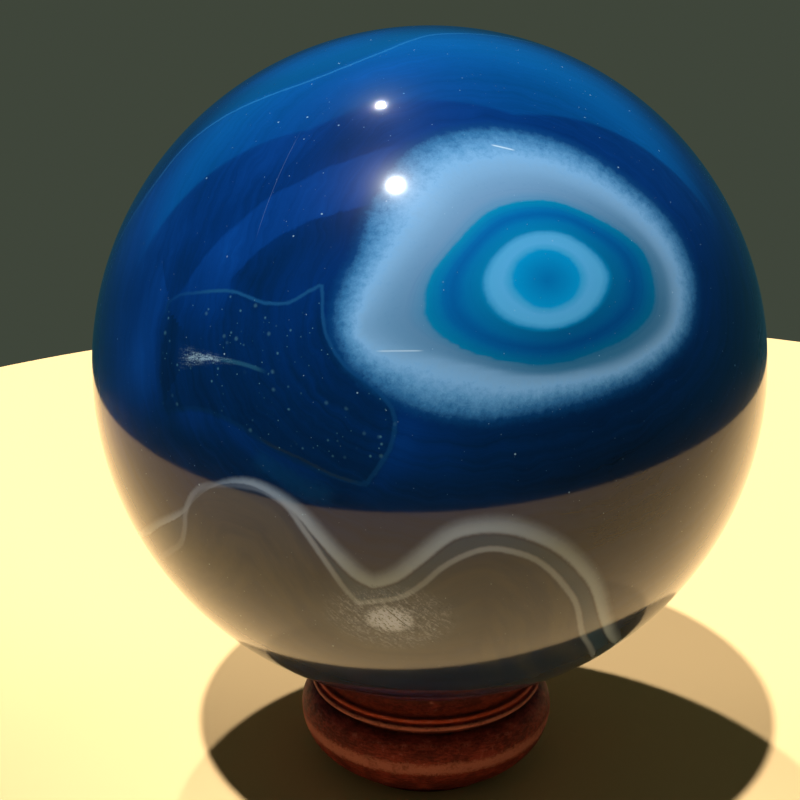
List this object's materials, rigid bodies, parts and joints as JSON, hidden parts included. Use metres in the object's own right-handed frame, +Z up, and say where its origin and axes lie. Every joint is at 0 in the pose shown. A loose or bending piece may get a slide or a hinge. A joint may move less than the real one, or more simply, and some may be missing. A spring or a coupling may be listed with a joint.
{
  "type": "agate sphere on a stand",
  "caption": "Polished ball of dyed blue banded agate resting in the shallow seat of a small turned wooden stand.",
  "frame": {"origin": "middle of the stand's flat underside, on the surface it stands on", "axes": "+Z up through the middle of the stand and the ball, +Y away from the side with the ringed eye"},
  "size_m": [0.08, 0.08, 0.0928],
  "materials": {
    "blue_agate": "mirror polished, translucent look, pale bands in deep blue",
    "red_brown_wood": "turned, stained red-brown and lacquered, a little worn on the edges"
  },
  "bodies": {
    "root": {"agate_sphere": "blue_agate", "turned_stand": "red_brown_wood"}
  },
  "joints": []
}
